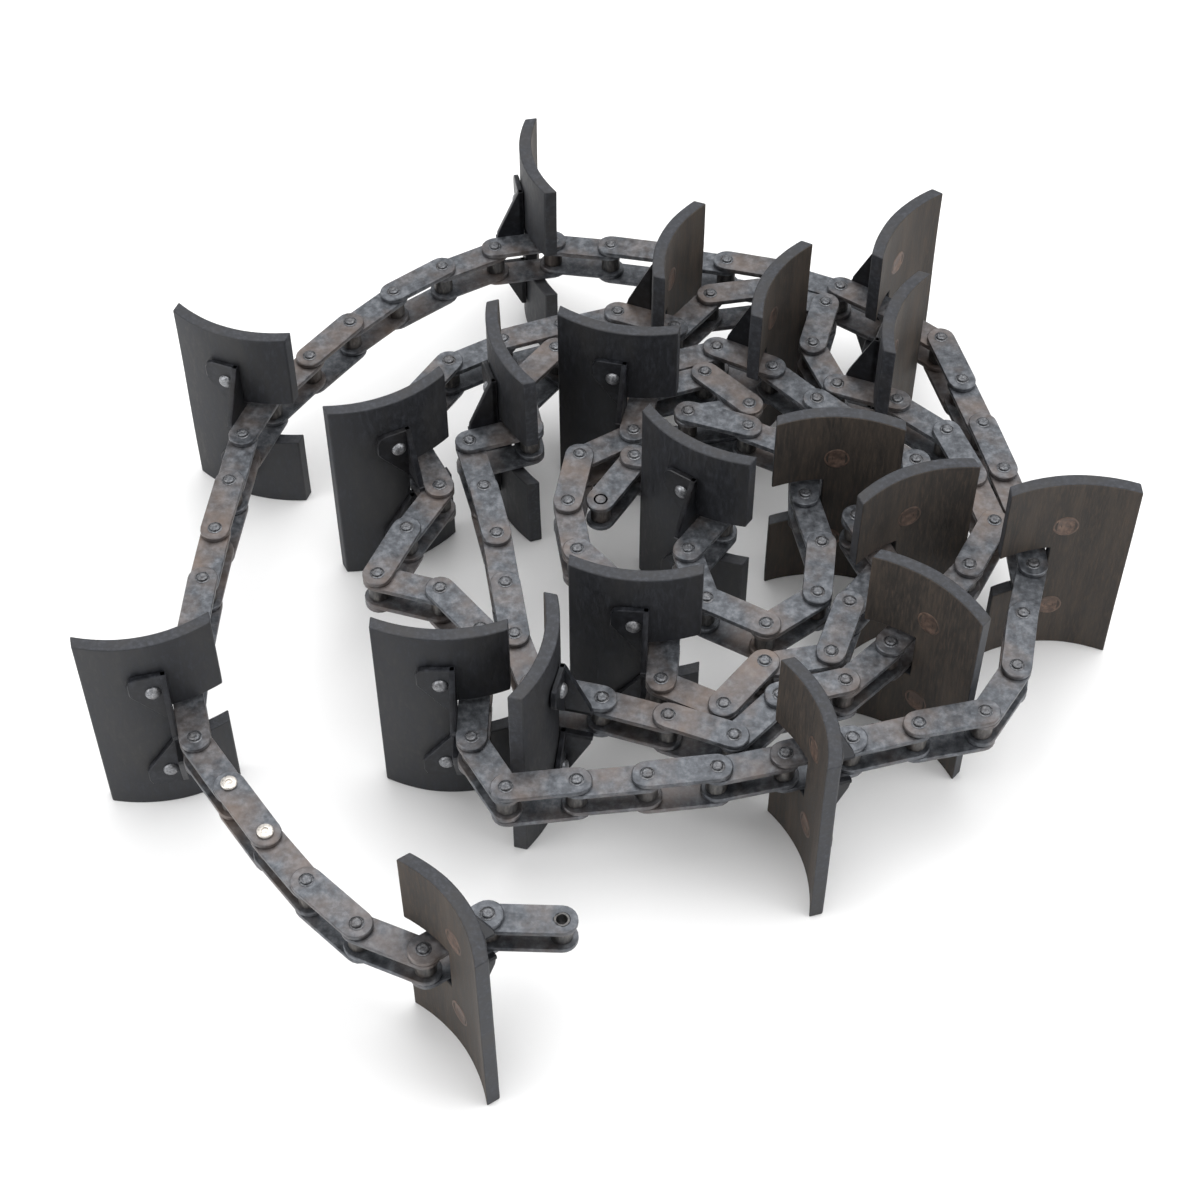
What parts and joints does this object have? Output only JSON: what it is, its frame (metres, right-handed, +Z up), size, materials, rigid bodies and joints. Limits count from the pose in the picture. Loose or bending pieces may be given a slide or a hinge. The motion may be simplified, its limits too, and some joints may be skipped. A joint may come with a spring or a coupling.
{
  "type": "paddle conveyor chain",
  "caption": "Double-pitch roller chain with riveted rubber paddles, coiled up and standing on the paddles' edges.",
  "frame": {"origin": "middle of the coil's box, on the floor", "axes": "+Z up along the pins, +X to the coil's right seen from its free end"},
  "size_m": [0.585, 0.6322, 0.14],
  "materials": {
    "steel": "worn",
    "zinc": "bright",
    "rivet_copper": "coppered",
    "rubber": "matt"
  },
  "bodies": {
    "coil": {"coil_run_01": "steel", "coil_run_02": "steel", "coil_run_03": "steel", "coil_run_04": "steel", "coil_run_05": "steel", "coil_run_06": "steel", "coil_run_07": "steel", "coil_run_08": "steel", "coil_run_09": "steel", "coil_run_10": "steel", "paddle_013": "rubber", "paddle_019": "rubber", "paddle_025": "rubber", "paddle_031": "rubber", "paddle_037": "rubber", "paddle_043": "rubber", "paddle_049": "rubber", "paddle_055": "rubber", "paddle_061": "rubber", "paddle_067": "rubber", "paddle_073": "rubber", "paddle_079": "rubber", "paddle_085": "rubber", "paddle_091": "rubber", "paddle_097": "rubber", "paddle_103": "rubber", "paddle_109": "rubber", "paddle_115": "rubber"},
    "attachment_link_7": {"link_07": "steel", "paddle_007": "rubber"},
    "inner_link_6": {"link_06": "steel"},
    "connecting_link_5": {"link_05_plate_top": "steel", "link_05_plate_bottom": "steel", "link_05_screw_a": "zinc", "link_05_screw_b": "zinc"},
    "inner_link_4": {"link_04": "steel"},
    "outer_link_3": {"link_03_plate_top": "steel", "link_03_plate_bottom": "steel", "link_03_pin_a": "steel", "link_03_pin_b": "steel"},
    "inner_link_2": {"link_02_plate_top": "steel", "link_02_plate_bottom": "steel", "link_02_bush_a": "steel", "link_02_bush_b": "steel"},
    "inner_link_2_roller_a": {"link_02_roller_a": "steel"},
    "inner_link_2_roller_b": {"link_02_roller_b": "steel"},
    "attachment_link_1": {"link_01_plate_top": "steel", "link_01_plate_bottom": "steel", "link_01_pin_a": "steel", "link_01_pin_b": "steel", "link_01_rivet_top": "rivet_copper", "link_01_rivet_bottom": "rivet_copper", "paddle_001": "rubber"},
    "end_link_0": {"link_00_plate_top": "steel", "link_00_plate_bottom": "steel", "link_00_bush_a": "steel", "link_00_bush_b": "steel"},
    "end_link_roller_a": {"link_00_roller_a": "steel"},
    "end_link_roller_b": {"link_00_roller_b": "steel"}
  },
  "joints": [
    {"name": "pin_8_hinge", "type": "hinge", "parent": "coil", "child": "attachment_link_7", "pos_m": [-0.24007, -0.10102, 0.07], "axis": [0, 0, 1], "range_deg": [-20, 2]},
    {"name": "pin_7_hinge", "type": "hinge", "parent": "attachment_link_7", "child": "inner_link_6", "pos_m": [-0.23104, -0.13804, 0.07], "axis": [0, 0, 1], "range_deg": [-20, 2]},
    {"name": "pin_6_hinge", "type": "hinge", "parent": "inner_link_6", "child": "connecting_link_5", "pos_m": [-0.20916, -0.16922, 0.07], "axis": [0, 0, 1], "range_deg": [-20, 2]},
    {"name": "pin_5_hinge", "type": "hinge", "parent": "connecting_link_5", "child": "inner_link_4", "pos_m": [-0.18697, -0.2002, 0.07], "axis": [0, 0, 1], "range_deg": [-20, 2]},
    {"name": "pin_4_hinge", "type": "hinge", "parent": "inner_link_4", "child": "outer_link_3", "pos_m": [-0.16303, -0.22984, 0.07], "axis": [0, 0, 1], "range_deg": [-20, 3]},
    {"name": "pin_3_hinge", "type": "hinge", "parent": "outer_link_3", "child": "inner_link_2", "pos_m": [-0.13535, -0.25602, 0.07], "axis": [0, 0, 1], "range_deg": [-20, 3]},
    {"name": "pin_2_hinge", "type": "hinge", "parent": "inner_link_2", "child": "attachment_link_1", "pos_m": [-0.10046, -0.27131, 0.07], "axis": [0, 0, 1], "range_deg": [-15, 6]},
    {"name": "pin_1_hinge", "type": "hinge", "parent": "attachment_link_1", "child": "end_link_0", "pos_m": [-0.06871, -0.25025, 0.07], "axis": [0, 0, 1], "range_deg": [-20, 8]},
    {"name": "roller_2a_spin", "type": "hinge", "parent": "inner_link_2", "child": "inner_link_2_roller_a", "pos_m": [-0.10046, -0.27131, 0.07], "axis": [0, 0, 1], "continuous": true},
    {"name": "roller_2b_spin", "type": "hinge", "parent": "inner_link_2", "child": "inner_link_2_roller_b", "pos_m": [-0.13535, -0.25602, 0.07], "axis": [0, 0, 1], "continuous": true},
    {"name": "roller_0a_spin", "type": "hinge", "parent": "end_link_0", "child": "end_link_roller_a", "pos_m": [-0.03063, -0.25147, 0.07], "axis": [0, 0, 1], "continuous": true},
    {"name": "roller_0b_spin", "type": "hinge", "parent": "end_link_0", "child": "end_link_roller_b", "pos_m": [-0.06871, -0.25025, 0.07], "axis": [0, 0, 1], "continuous": true}
  ]
}
